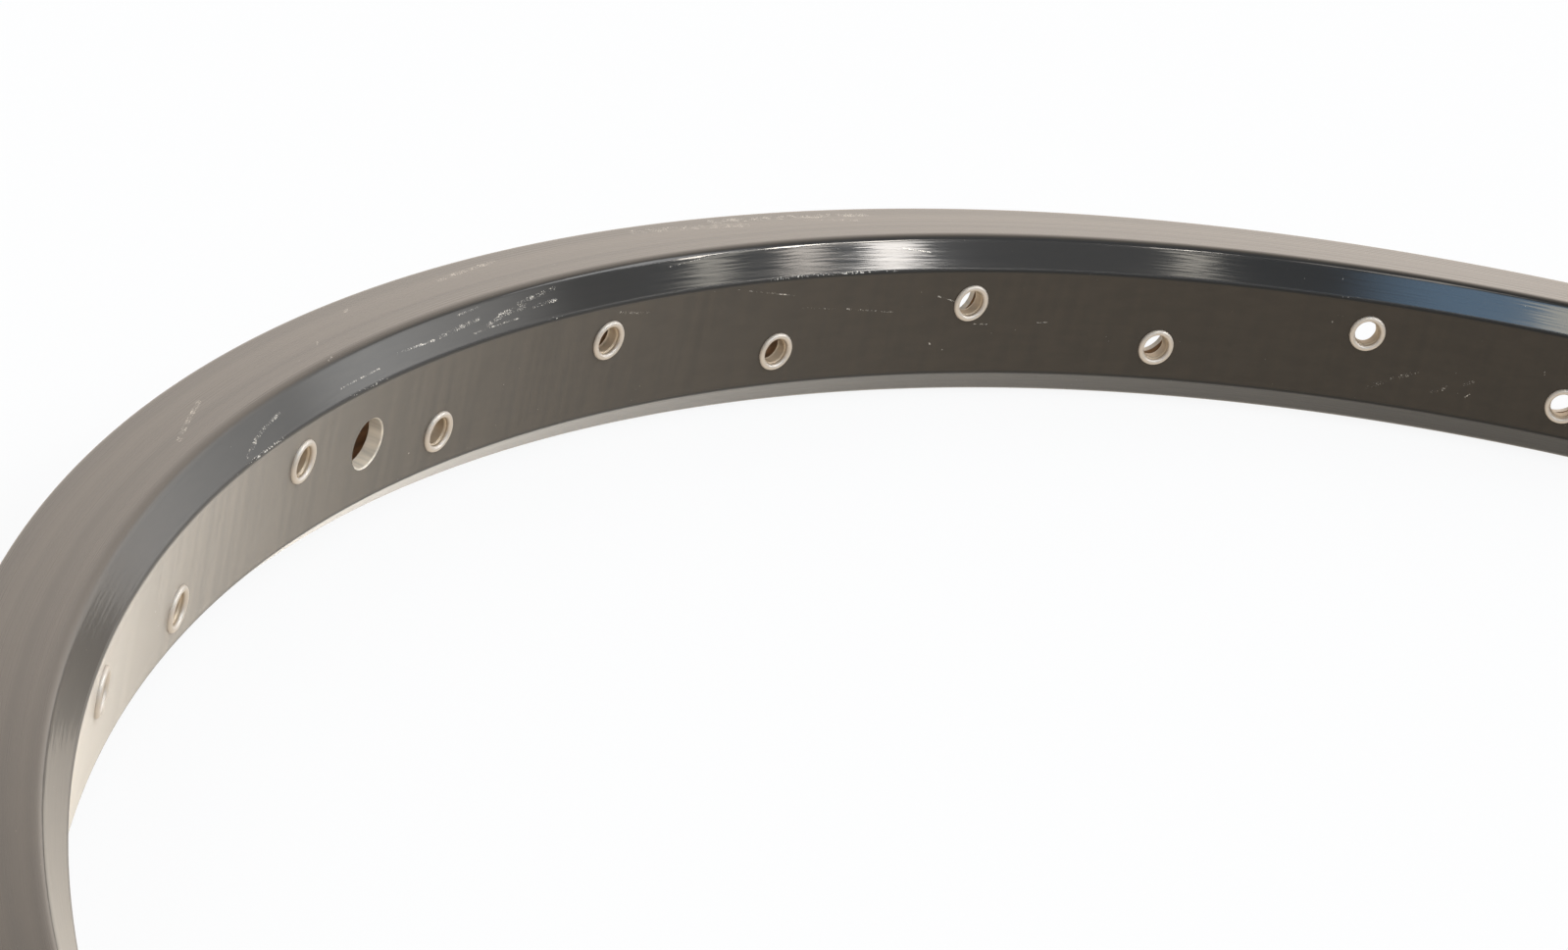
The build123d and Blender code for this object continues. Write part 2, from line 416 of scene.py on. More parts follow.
class DrillPlan:
    """Where the hoop is drilled: the angles of each sector's two ends and of its hole, the hole's side of the
    bed, and the shared angles of all lengthwise grid lines. The hoop runs from its seam on +X once round."""

    def __init__(self, sizes, bed_radius):
        pitch = 2 * math.pi / sizes.spoke_count
        seam = sizes.seam_gap / bed_radius / 2
        number = np.arange(sizes.spoke_count)
        self.hole = (number + 0.5) * pitch
        self.side = 1.0 - 2.0 * (number % 2)
        self.start = number * pitch
        self.end = (number + 1) * pitch
        self.start[0] = seam
        self.end[-1] = 2 * math.pi - seam
        half = sizes.spoke_count // 2
        self.valve_reach = pitch / PITCH_PARTS
        self.end[half - 1] -= self.valve_reach
        self.start[half] += self.valve_reach
        spans = np.linspace(self.start, self.end, SECTOR_STEPS + 1, axis=1)
        valve = np.linspace(math.pi - self.valve_reach, math.pi + self.valve_reach, VALVE_STEPS + 1)
        first, second = spans[:half, :-1].ravel(), spans[half:, :-1].ravel()
        self.lines = np.concatenate([first, valve[:-1], second, spans[-1, -1:]])


def square_edge(across_steps):
    """Points round the edge of the square from -1 to 1, anticlockwise from its lower right corner, closed."""
    up = np.linspace(-1.0, 1.0, WIDTH_STEPS + 1)
    back = np.linspace(1.0, -1.0, across_steps + 1)
    first = np.concatenate([np.ones(WIDTH_STEPS), back[:-1], -np.ones(WIDTH_STEPS), -back])
    second = np.concatenate([up[:-1], np.ones(across_steps), -up[:-1], -np.ones(across_steps + 1)])
    return first, second


def hole_circle(across_steps):
    """Angles round a hole that go with the points of square_edge."""
    count = 2 * (WIDTH_STEPS + across_steps)
    return (np.arange(count + 1) - WIDTH_STEPS / 2) * 2 * math.pi / count


def per_hole(*lists):
    """Lists of one value for each hole, as arrays that spread over rings and over points round a hole."""
    return [np.asarray(values, float)[:, None, None] for values in lists]


def drilled_band(radius, half, start, end, hole, height, hole_radius, rings, across_steps):
    """Angle and height of the points of a cylinder's band round each hole: (1 - ring) x the hole's circle +
    ring x the edge of the band's rectangle, for rings from 0 at the hole to 1 at the edge."""
    turn = hole_circle(across_steps)
    first, second = square_edge(across_steps)
    start, end, hole, height = per_hole(start, end, hole, height)
    ring = np.asarray(rings)[None, :, None]
    circle_angle = hole + np.arcsin(hole_radius * np.cos(turn) / radius)
    circle_height = height + hole_radius * np.sin(turn)
    edge_angle = (start + end) / 2 + (end - start) / 2 * first
    angle = (1 - ring) * circle_angle + ring * edge_angle
    return angle, (1 - ring) * circle_height + ring * half * second


def drilled_wall(near, far, hole, height, near_radius, far_radius, across_steps):
    """Wall of each drilled hole, ruled from its circle at the near radius to its circle at the far one."""
    turn = hole_circle(across_steps)[None, None, :]
    hole, height = per_hole(hole, height)
    reach = np.array([near, far])[None, :, None]
    size = np.array([near_radius, far_radius])[None, :, None]
    angle = hole + np.arcsin(size * np.cos(turn) / reach)
    points = on_circle(reach, angle, height + size * np.sin(turn))
    return grid_surface(points, turn * near_radius + hole, reach, DRILLED)


def hoop_strip(outline, lines, along_radius, across, finish, flip):
    """An outline of radius and height carried round the axle line through the given angles."""
    points = on_circle(outline[:, :1], lines[None, :], outline[:, 1:])
    return grid_surface(points, lines[None, :] * along_radius, across[:, None], finish, flip)


def half_loop(outline):
    """Points from the middle of the bed along an outline of the upper half to the middle of the tyre side."""
    rise = np.linspace(0.0, 1.0, WIDTH_STEPS // 2 + 1)[:-1, None]
    first = outline[0] * np.concatenate([np.ones_like(rise), rise], axis=1)
    last = outline[-1] * np.concatenate([np.ones_like(rise), rise[::-1]], axis=1)
    return np.concatenate([first, outline, last])


def seam_end(section, angle, flip):
    """Flat end of the hoop at its seam: the section between outside and hollow as an upper and a lower face,
    which meet at the middle of the width."""
    upper = np.concatenate([half_loop(section.outside), half_loop(section.inside)[::-1]])
    outline = np.concatenate([upper, upper * (1, -1)])
    count = len(upper)
    faces = np.stack([np.arange(count)[::-1], np.arange(count) + count])
    if flip:
        faces = faces[:, ::-1]
    points = on_circle(outline[:, 0], angle, outline[:, 1])
    return points, faces, outline, np.full(len(faces), DRILLED)


def hoop_surfaces(sizes, section):
    """Every face of the hoop: strips along it, the seam's ends, drilled bands and the walls of holes."""
    plan = DrillPlan(sizes, section.bed_radius)
    bed, back = section.bed_radius, section.bed_back
    near, far = section.well_back, section.well_radius
    surfaces = []
    for outline, finish, flip in ((section.outside, ANODISED, False), (section.inside, UNDYED, True)):
        across = outline[0, 1] + run_length(outline)
        surfaces.append(hoop_strip(outline, plan.lines, bed, across, finish, flip))
        surfaces.append(hoop_strip(outline[::-1] * (1, -1), plan.lines, bed, -across[::-1], finish, flip))
    surfaces.append(seam_end(section, plan.lines[0], False))
    surfaces.append(seam_end(section, plan.lines[-1], True))
    valve = sizes.valve_hole / 2
    eased = valve + sizes.valve_deburr
    step = bed + sizes.valve_deburr
    port = [math.pi], [0]
    port_span = [math.pi - plan.valve_reach], [math.pi + plan.valve_reach]
    spoke = sizes.spoke_hole / 2
    access = sizes.access_hole / 2
    spokes = plan.hole, plan.side * sizes.spoke_stagger
    accesses = plan.hole, plan.side * sizes.access_stagger
    bands = [
        (bed, section.bed_edge, 0.0, spokes, spoke, eased, FINE_RINGS, ANODISED, True),
        (back, section.inside[0, 1], 0.0, spokes, spoke, valve, COARSE_RINGS, UNDYED, False),
        (near, section.inside[-1, 1], 0.0, accesses, access, valve, COARSE_RINGS, UNDYED, True),
        (far, section.outside[-1, 1], TYRE_SIDE, accesses, access, valve, COARSE_RINGS, ANODISED, False),
    ]
    for radius, half, place, holes, size, valve_size, rings, finish, flip in bands:
        drilled = drilled_band(radius, half, plan.start, plan.end, *holes, size, rings, SECTOR_STEPS)
        pierced = drilled_band(radius, half, *port_span, *port, valve_size, rings, VALVE_STEPS)
        for angle, height in (drilled, pierced):
            points = on_circle(radius, angle, height)
            surfaces.append(grid_surface(points, angle * bed, place + height, finish, flip))
    return surfaces + [
        drilled_wall(bed, back, *spokes, spoke, spoke, SECTOR_STEPS),
        drilled_wall(near, far, *accesses, access, access, SECTOR_STEPS),
        drilled_wall(near, far, *port, valve, valve, VALVE_STEPS),
        drilled_wall(bed, step, *port, eased, valve, VALVE_STEPS),
        drilled_wall(step, back, *port, valve, valve, VALVE_STEPS),
    ]


def crown_length(eyelet):
    """Length along the crown from the flange's edge to the mouth: half an ellipse, whose length is close to
    pi x the root of half the sum of its two squared radii."""
    across = (eyelet.wall + eyelet.flange - eyelet.mouth) / 2
    return math.pi * math.sqrt((across**2 + eyelet.crown**2) / 2)


def eyelet_outline(eyelet, seat, back):
    """Closed half section of an eyelet as distance from its axis and from the axle line: flat underside, a
    crown that is half an ellipse, a stepped mouth, the bore, the swaged lip and the barrel's outside."""
    bore = eyelet.bore / 2
    barrel = bore + eyelet.wall
    edge = barrel + eyelet.flange
    mouth = bore + eyelet.mouth
    turn = np.linspace(0.0, math.pi, CROWN_STEPS)
    crown_out = (edge + mouth) / 2 + (edge - mouth) / 2 * np.cos(turn)
    crown = np.stack([crown_out, seat - eyelet.crown * np.sin(turn)], axis=1)
    depth = eyelet.mouth_depth
    corners = np.array([
        (mouth, seat),
        (mouth - eyelet.mouth * MOUTH_LEAN, seat + depth * SHELF_TOP),
        (bore + eyelet.mouth * SHELF_WIDTH, seat + depth * SHELF_FOOT),
        (bore, seat + depth),
        (bore, back - eyelet.lip_rise * FLARE_START),
        (barrel + eyelet.lip, back + eyelet.lip_rise),
        (barrel, back),
        (barrel, seat),
    ])
    ease = eyelet.mouth * MOUTH_EASE
    inner = corner_rounded(corners, [ease, ease, ease, eyelet.lip_rise, ease, ease])
    return np.concatenate([crown, inner[1:], crown[:1]])


def eyelet_surfaces(sizes, eyelet):
    """All eyelets at once: the half section turned about each spoke hole's axis, out from the axle line."""
    section = HoopSection(sizes)
    plan = DrillPlan(sizes, section.bed_radius)
    edge = eyelet.bore / 2 + eyelet.wall + eyelet.flange
    seat = math.sqrt(section.bed_radius**2 - edge**2)
    outline = eyelet_outline(eyelet, seat, section.bed_back)
    turn = np.linspace(0.0, 2 * math.pi, EYELET_STEPS + 1)
    hole = plan.hole[:, None, None]
    out, away = outline[None, :, :1], outline[None, :, 1:]
    sideways = out * np.cos(turn)
    x = away * np.cos(hole) - sideways * np.sin(hole)
    y = away * np.sin(hole) + sideways * np.cos(hole)
    z = plan.side[:, None, None] * sizes.spoke_stagger + out * np.sin(turn)
    points = np.stack(np.broadcast_arrays(x, y, z), axis=-1)
    around = hole * section.bed_radius + turn * eyelet.bore / 2
    return [grid_surface(points, around, run_length(outline)[None, :, None])]


def feed(socket, value):
    """Links a socket to another node's output, or sets its value."""
    if isinstance(value, bpy.types.NodeSocket):
        socket.id_data.links.new(value, socket)
    else:
        socket.default_value = value


def wire(made, **inputs):
    """Links or sets a node's named inputs. An underscore stands for a space."""
    for name, value in inputs.items():
        feed(made.inputs[name.replace("_", " ")], value)


def node(tree, kind, settings=None, **inputs):
    """A new node with its settings, and its named inputs linked or set."""
    made = tree.nodes.new(kind)
    for name, value in (settings or {}).items():
        setattr(made, name, value)
    wire(made, **inputs)
    return made


def tree_of(values):
    """Node tree of the first socket among some values."""
    return next(value.id_data for value in values if isinstance(value, bpy.types.NodeSocket))


def worked_out(kind, operation, values):
    """Outputs of a Math or Vector Math node on values or sockets."""
    made = node(tree_of(values), kind, {"operation": operation})
    for socket, value in zip(made.inputs, values):
        feed(socket, value)
    return made.outputs


def calc(operation, *values):
    """Result of a Math node."""
    return worked_out("ShaderNodeMath", operation, values)[0]


def ramp(value, low, high, to_low=0.0, to_high=1.0):
    """A value eased from one range to another, and held outside it."""
    eased = {"interpolation_type": "SMOOTHSTEP"}
    made = node(value.id_data, "ShaderNodeMapRange", eased, Value=value, From_Min=low, From_Max=high)
    wire(made, To_Min=to_low, To_Max=to_high)
    return made.outputs[0]


def falling(value, low, high):
    """1 up to the low limit, eased down to 0 at the high one."""
    return ramp(value, low, high, 1.0, 0.0)


def opaque(tint, share=1.0):
    """A colour as a node takes it, dimmed or raised by a share."""
    return (*[share * value for value in tint], 1.0)


def gap_to(value, middle):
    """Distance of a value from a middle, on either side."""
    return calc("ABSOLUTE", calc("SUBTRACT", value, middle))


def blend_colour(share, first, second):
    """A colour part of the way from the first to the second."""
    made = node(share.id_data, "ShaderNodeMix", {"data_type": "RGBA"})
    feed(made.inputs[MIX_SHARE], share)
    feed(made.inputs[MIX_FIRST], first)
    feed(made.inputs[MIX_SECOND], second)
    return made.outputs[MIX_RESULT]


def noise(vector, scale=1.0, detail=1.0, roughness=0.5):
    """Value of a noise texture."""
    made = node(vector.id_data, "ShaderNodeTexNoise", Vector=vector, Scale=scale)
    wire(made, Detail=detail, Roughness=roughness)
    return made.outputs[0]


def layered(mask, share, base=0.0):
    """A base with a share of a mask laid over it: base + share x mask."""
    return calc("MULTIPLY_ADD", mask, share, base)


def vector_of(x, y, z=0.0):
    """A vector from three values."""
    return node(x.id_data, "ShaderNodeCombineXYZ", X=x, Y=y, Z=z).outputs[0]


def parts_of(vector):
    """The three values of a vector, by X, Y and Z."""
    return node(vector.id_data, "ShaderNodeSeparateXYZ", Vector=vector).outputs


def vector_calc(operation, *values):
    """Result of a Vector Math node: a number for a dot product or a length, otherwise a vector."""
    result = "Value" if operation in ("DOT_PRODUCT", "LENGTH") else "Vector"
    return worked_out("ShaderNodeVectorMath", operation, values)[result]


def scaled(vector, share):
    """A vector times a number."""
    made = node(share.id_data, "ShaderNodeVectorMath", {"operation": "SCALE"}, Vector=vector, Scale=share)
    return made.outputs[0]


def group_ends(tree, vectors, numbers, results):
    """Sockets at the two ends of an empty node group: its named vector and number inputs, and its results."""
    sockets = [(name, "INPUT", "NodeSocketVector") for name in vectors]
    sockets += [(name, "INPUT", "NodeSocketFloat") for name in numbers]
    sockets += [(name, "OUTPUT", "NodeSocketFloat") for name in results]
    for name, end, kind in sockets:
        tree.interface.new_socket(name=name, in_out=end, socket_type=kind)
    return tree.nodes.new("NodeGroupInput").outputs, tree.nodes.new("NodeGroupOutput").inputs


def turned_lines(tree):
    """Fills the group of fine lines along a surface, as turning, rolling or drawing leaves them: noise that
    is stretched by the line length one way and the line pitch the other, and a coarser set as bands."""
    given, put = group_ends(tree, [], ["Along", "Across", "Line length", "Line pitch"], ["Lines", "Bands"])
    along = calc("DIVIDE", given["Along"], given["Line length"])
    across = calc("DIVIDE", given["Across"], given["Line pitch"])
    fine = noise(vector_of(along, across))
    broad = vector_of(layered(along, share=0.5), layered(across, share=0.3), BAND_LAYER)
    feed(put["Lines"], ramp(fine, *LINE_LIMITS))
    feed(put["Bands"], ramp(noise(broad), *LINE_LIMITS))


def flecks(tree):
    """Fills the group of small flecks: spots of a fine noise above a level, thinned out by a coarser noise
    so that they gather in places."""
    given, put = group_ends(tree, ["Place"], ["Fleck size", "Gathering", "Level"], ["Flecks"])
    fine = noise(given["Place"], calc("DIVIDE", 1.0, given["Fleck size"]), detail=3.0)
    coarse = noise(given["Place"], calc("DIVIDE", 1.0, given["Gathering"]))
    spots = layered(calc("SUBTRACT", coarse, NOISE_MEAN), share=0.6, base=fine)
    top = calc("ADD", given["Level"], FLECK_EDGE)
    feed(put["Flecks"], ramp(spots, given["Level"], top))


def scratch(tree):
    """Fills the group of one straight scratch: full beside the line from Start to End, and faded out at a
    share of its width from that line."""
    given, put = group_ends(tree, ["Place", "Start", "End"], ["Width"], ["Mark"])
    run = vector_calc("SUBTRACT", given["End"], given["Start"])
    reach = vector_calc("SUBTRACT", given["Place"], given["Start"])
    run_square = vector_calc("DOT_PRODUCT", run, run)
    share = calc("DIVIDE", vector_calc("DOT_PRODUCT", reach, run), run_square)
    share = calc("MINIMUM", calc("MAXIMUM", share, 0.0), 1.0)
    gap = vector_calc("LENGTH", vector_calc("SUBTRACT", reach, scaled(run, share)))
    feed(put["Mark"], falling(calc("DIVIDE", gap, given["Width"]), low=0.2, high=0.6))


def placed_group(fill, **inputs):
    """Outputs of a node group placed in its inputs' tree. The group is named after the function that fills
    it, and is built when it is first placed."""
    name = fill.__name__.replace("_", " ")
    if name not in bpy.data.node_groups:
        fill(bpy.data.node_groups.new(name, "ShaderNodeTree"))
    group = {"node_tree": bpy.data.node_groups[name]}
    return node(tree_of(inputs.values()), "ShaderNodeGroup", group, **inputs).outputs


def lines_on(along, across, run, pitch):
    """Lines and bands of a finish, from the length and the pitch of its lines in metres."""
    return placed_group(turned_lines, Along=along, Across=across, Line_length=run, Line_pitch=pitch)


def empty_tree(owner):
    """Node tree of a material or a world, emptied."""
    owner.use_nodes = True
    owner.node_tree.nodes.clear()
    return owner.node_tree


def new_material(name, **uniform):
    """A material that holds a Principled shader with some uniform values, its tree and the shader."""
    material = bpy.data.materials.new(name)
    tree = empty_tree(material)
    shader = node(tree, "ShaderNodeBsdfPrincipled", **uniform)
    node(tree, "ShaderNodeOutputMaterial", Surface=shader.outputs[0])
    return material, tree, shader


def bump(height, depth):
    """Normal of a surface whose height varies by the depth, in metres."""
    return node(height.id_data, "ShaderNodeBump", Strength=1.0, Distance=depth, Height=height).outputs[0]


def surface_place(tree):
    """Place on a surface, in metres, from its own UV map: as a vector, and as numbers along and across."""
    place = node(tree, "ShaderNodeUVMap", {"uv_map": "place"}).outputs[0]
    parts = parts_of(place)
    return place, parts["X"], parts["Y"]


def wear_mask(place, bed_radius):
    """Scratches and rubs broken up into specks: the strongest mark at a place plus fine and broader noise,
    above a level, so that a strong mark is nearly whole and a weak one only a few clusters of dots."""
    worn = 0.0
    for first_turn, first_across, last_turn, last_across, width, loss in WEAR_MARKS:
        start = (math.radians(first_turn) * bed_radius, first_across * MILLIMETRE, 0.0)
        end = (math.radians(last_turn) * bed_radius, last_across * MILLIMETRE, 0.0)
        mark = placed_group(scratch, Place=place, Start=start, End=end, Width=width * MILLIMETRE)
        worn = calc("MAXIMUM", worn, layered(mark["Mark"], loss))
    clusters = layered(noise(place, scale=700.0), share=0.4)
    specks = noise(place, scale=3800.0, detail=2.0, roughness=0.7)
    grit = layered(specks, share=0.85, base=clusters)
    return ramp(calc("ADD", worn, grit), low=1.22, high=1.4)


def edge_wear(place, along, across, section):
    """Chips of bare metal along the edge between bed and shoulder, most where it was knocked."""
    gap = gap_to(across, section.bed_edge + CHIP_LINE)
    knocked = LIGHTLY_KNOCKED
    for first, last in EDGE_WEAR:
        middle = math.radians((first + last) / 2) * section.bed_radius
        half = math.radians(last - first) / 2 * section.bed_radius
        stretch = falling(gap_to(along, middle), half / 2, half)
        knocked = calc("MAXIMUM", knocked, stretch)
    level = layered(knocked, share=-0.24, base=0.82)
    chips = placed_group(flecks, Place=place, Fleck_size=0.0004, Gathering=0.02, Level=level)
    return calc("MULTIPLY", falling(gap, low=0.0001, high=0.0003), chips["Flecks"])


def film_zones(across, section):
    """Masks over the section: past the bed, past the shoulder, on the shoulder, and a darker line where
    shoulder and bed meet.
    """
    width = calc("ABSOLUTE", across)
    side_start = section.bed_edge + section.shoulder_length
    past_bed = ramp(width, section.bed_edge - ZONE_EDGE, section.bed_edge + ZONE_EDGE)
    past_shoulder = ramp(width, side_start - ZONE_EDGE, side_start + ZONE_EDGE)
    shoulder = calc("SUBTRACT", past_bed, past_shoulder)
    # A darker, rougher line without the coat where the bed meets the shoulder
    dark_corner_line = falling(gap_to(width, section.bed_half), low=0.00025, high=0.0006)
    return past_bed, past_shoulder, shoulder, dark_corner_line


def film_dye(finish, along, across, shoulder):
    """Dye of the film: mottled from black to brown on bed and sides, deeper on the shoulders."""
    stretched = vector_of(layered(along, share=0.35), across)
    mottle = ramp(noise(stretched, scale=420.0, detail=4.0), low=0.35, high=0.65)
    black = opaque(finish.anodised, share=0.9)
    brown = opaque(finish.anodised, share=1.1)
    return blend_colour(shoulder, blend_colour(mottle, black, brown), opaque(finish.polished))


def anodised_material(finish, section):
    """Black anodised extrusion: a dyed film over rolled aluminium, glossiest on the shoulders, with lines
    that run round the hoop, a clear coat that is partly rubbed off, scratches, chips and dust."""
    material, tree, shader = new_material(
        "black_anodised",
        IOR=1.42,
        Specular_Tint=(1.0, 0.94, 0.87, 1.0),
        Coat_Roughness=0.16,
        Coat_IOR=1.2,
        Coat_Tint=(1.0, 0.95, 0.89, 1.0),
        Sheen_Weight=1.0,
        Sheen_Roughness=0.38,
        Sheen_Tint=(1.0, 0.9, 0.78, 1.0),
    )
    place, along, across = surface_place(tree)
    past_bed, past_shoulder, shoulder, dark_corner_line = film_zones(across, section)
    lines = lines_on(along, across, run=0.25, pitch=0.0006)
    grain = lines_on(along, across, run=0.008, pitch=0.0005)
    ticks = lines_on(across, along, run=0.03, pitch=0.002)
    worn = wear_mask(place, section.bed_radius)
    bare = calc("MAXIMUM", worn, edge_wear(place, along, across, section))
    dust = placed_group(flecks, Place=place, Fleck_size=0.0005, Gathering=0.004, Level=0.815)
    bare = calc("MAXIMUM", bare, layered(dust["Flecks"], share=0.4))
    dye = film_dye(finish, along, across, shoulder)
    rough = layered(past_shoulder, share=0.04, base=0.2)
    rough = layered(shoulder, share=-0.15, base=rough)
    rough = layered(calc("MULTIPLY", lines["Lines"], past_bed), share=0.05, base=rough)
    rough = layered(dark_corner_line, share=0.45, base=rough)
    rubbed = calc("MULTIPLY", ticks["Lines"], calc("SUBTRACT", 1.0, past_bed))
    streak = calc("MULTIPLY", lines["Bands"], past_shoulder)
    brushed = ramp(across, -MIDDLE_BLEND, MIDDLE_BLEND, to_low=0.8, to_high=0.3)
    brushed = layered(grain["Lines"], share=0.2, base=brushed)
    loss = layered(streak, share=0.35, base=layered(rubbed, share=0.55))
    loss = layered(shoulder, brushed, base=loss)
    height = calc("MULTIPLY", calc("ADD", grain["Lines"], lines["Lines"]), shoulder)
    wire(
        shader,
        Base_Color=blend_colour(bare, dye, opaque(finish.bare)),
        Metallic=layered(bare, share=0.3),
        Roughness=layered(bare, share=0.3, base=rough),
        Coat_Weight=calc("SUBTRACT", 1.0, calc("MAXIMUM", loss, dark_corner_line)),
        Normal=bump(height, depth=0.000003),
    )
    return material


def lined_metal(shader, lines, tone, tint, dull, rough, rougher):
    """Feeds a shader a tint, dulled where the tone is low, and roughness and ridges that follow lines."""
    wire(
        shader,
        Base_Color=blend_colour(tone, opaque(tint, dull), opaque(tint)),
        Roughness=layered(lines["Lines"], rougher, base=rough),
        Normal=bump(lines["Lines"], depth=0.00001),
    )


def drilled_material(finish):
    """Bare aluminium of a drilled hole, with fine lines along its axis where the drill was drawn out."""
    material, tree, shader = new_material("drilled_aluminium", Metallic=0.3)
    _, along, across = surface_place(tree)
    lines = lines_on(across, along, run=0.01, pitch=0.0009)
    tone = layered(lines["Bands"], share=0.5, base=layered(lines["Lines"], share=0.5))
    lined_metal(shader, lines, tone, finish.drilled, dull=0.65, rough=0.42, rougher=0.15)
    return material


def hollow_material(finish):
    """Inside of the extrusion, which the dye hardly reached: a thin brown film with draw lines."""
    material, tree, shader = new_material("brown_hollow")
    _, along, across = surface_place(tree)
    lines = lines_on(along, across, run=0.1, pitch=0.0006)
    lined_metal(shader, lines, lines["Bands"], finish.hollow, dull=0.7, rough=0.4, rougher=0.1)
    return material


def plated_material(finish, crown_run):
    """Nickel plating on the eyelets: warm satin metal, slightly uneven, with a painted reflection of the dark
    brown hollow past the crown.
    """
    material, tree, shader = new_material("nickel_plating", Metallic=1.0)
    place, along, across = surface_place(tree)
    lines = lines_on(along, across, run=0.006, pitch=0.00015)
    cloud = noise(place, scale=500.0, detail=2.0)
    bright = blend_colour(cloud, opaque(finish.plating, share=0.88), opaque(finish.plating))
    # Past the crown the plating turns darker and browner: a painted reflection of the dark brown hollow
    painted_bore_reflection = ramp(across, low=0.85 * crown_run, high=1.1 * crown_run)
    rough = layered(cloud, share=0.1, base=0.52)
    wire(
        shader,
        Base_Color=blend_colour(painted_bore_reflection, bright, opaque(finish.bore)),
        Roughness=layered(lines["Lines"], share=0.05, base=rough),
        Normal=bump(lines["Bands"], depth=0.000002),
    )
    return material


def sleeve_material(finish):
    """Plain extruded aluminium, with draw lines that run round the hoop."""
    material, tree, shader = new_material("extruded_aluminium", Metallic=1.0)
    parts = parts_of(node(tree, "ShaderNodeTexCoord").outputs["Object"])
    across = calc("ADD", parts["X"], parts["Z"])
    lines = lines_on(parts["Y"], across, run=0.05, pitch=0.0003)
    lined_metal(shader, lines, lines["Bands"], finish.sleeve, dull=0.8, rough=0.35, rougher=0.15)
    return material


class RIM_OT_hoop(bpy.types.Operator):
    """Build the hollow hoop with its drilled holes and its seam"""

    bl_idname = "rim.hoop"
    bl_label = "Hoop"

    def execute(self, context):
        sizes = context.scene.rim_sizes
        finish = context.scene.rim_finish
        section = HoopSection(sizes)
        materials = [anodised_material(finish, section), drilled_material(finish), hollow_material(finish)]
        hoop = mesh_object("hoop", hoop_surfaces(sizes, section), materials, HOOP_CREASE)
        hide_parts("rim_hoop")
        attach(hoop, "root")
        return {"FINISHED"}


class RIM_OT_eyelets(bpy.types.Operator):
    """Build an eyelet in each spoke hole"""

    bl_idname = "rim.eyelets"
    bl_label = "Eyelets"

    def execute(self, context):
        scene = context.scene
        eyelet = scene.rim_eyelet
        surfaces = eyelet_surfaces(scene.rim_sizes, eyelet)
        plating = plated_material(scene.rim_finish, crown_length(eyelet))
        ring = mesh_object("eyelet_set", surfaces, [plating], EYELET_CREASE)
        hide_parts("eyelets")
        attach(ring, "root")
        return {"FINISHED"}


class RIM_OT_sleeve(bpy.types.Operator):
    """Finish the joint sleeve inside the hoop"""

    bl_idname = "rim.sleeve"
    bl_label = "Joint sleeve"

    def execute(self, context):
        material = sleeve_material(context.scene.rim_finish)
        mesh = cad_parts["joint_sleeve"].data
        mesh.materials.clear()
        mesh.materials.append(material)
        return {"FINISHED"}


def heading(azimuth, elevation):
    """Unit vector at an azimuth and elevation in degrees."""
    turn, rise = math.radians(azimuth), math.radians(elevation)
    return Vector((math.cos(rise) * math.cos(turn), math.cos(rise) * math.sin(turn), math.sin(rise)))


def make_floor(settings):
    """A wide floor, white in view and warm white in reflections, with some of its own shading left for the
    object's shadow."""
    material = bpy.data.materials.new("pale_floor")
    tree = empty_tree(material)
    matt = node(tree, "ShaderNodeBsdfDiffuse", Color=opaque(settings.floor))
    path = node(tree, "ShaderNodeLightPath").outputs
    mirror = calc("MAXIMUM", path["Is Glossy Ray"], path["Is Transmission Ray"])
    seen = calc("MAXIMUM", path["Is Camera Ray"], mirror)
    shown = blend_colour(path["Is Camera Ray"], opaque(settings.mirrored), WHITE)
    white = node(tree, "ShaderNodeEmission", Color=shown, Strength=1.0)
    both = node(tree, "ShaderNodeMixShader", Fac=calc("MULTIPLY", seen, settings.white_share))
    feed(both.inputs[1], matt.outputs[0])
    feed(both.inputs[2], white.outputs[0])
    node(tree, "ShaderNodeOutputMaterial", Surface=both.outputs[0])
    reach = np.linspace(-FLOOR_REACH, FLOOR_REACH, FLOOR_LINES)
    points = np.stack(np.broadcast_arrays(reach[:, None], reach[None, :], FLOOR_HEIGHT), axis=-1)
    surface = grid_surface(points, reach[:, None], reach[None, :])
    mesh_object("floor", [surface], [material], HOOP_CREASE)


def window_light(azimuth, elevation, light, *limits):
    """Light of one window: its colour within half its width of its middle azimuth, and between its lowest
    and its highest elevation."""
    middle, half, low, high, edge = [math.radians(limit) for limit in (*limits, WINDOW_EDGE)]
    within = falling(gap_to(azimuth, middle), half - edge, half + edge)
    above = ramp(elevation, low - edge, low + edge)
    below = falling(elevation, high - edge, high + edge)
    return scaled(light, calc("MULTIPLY", within, calc("MULTIPLY", above, below)))


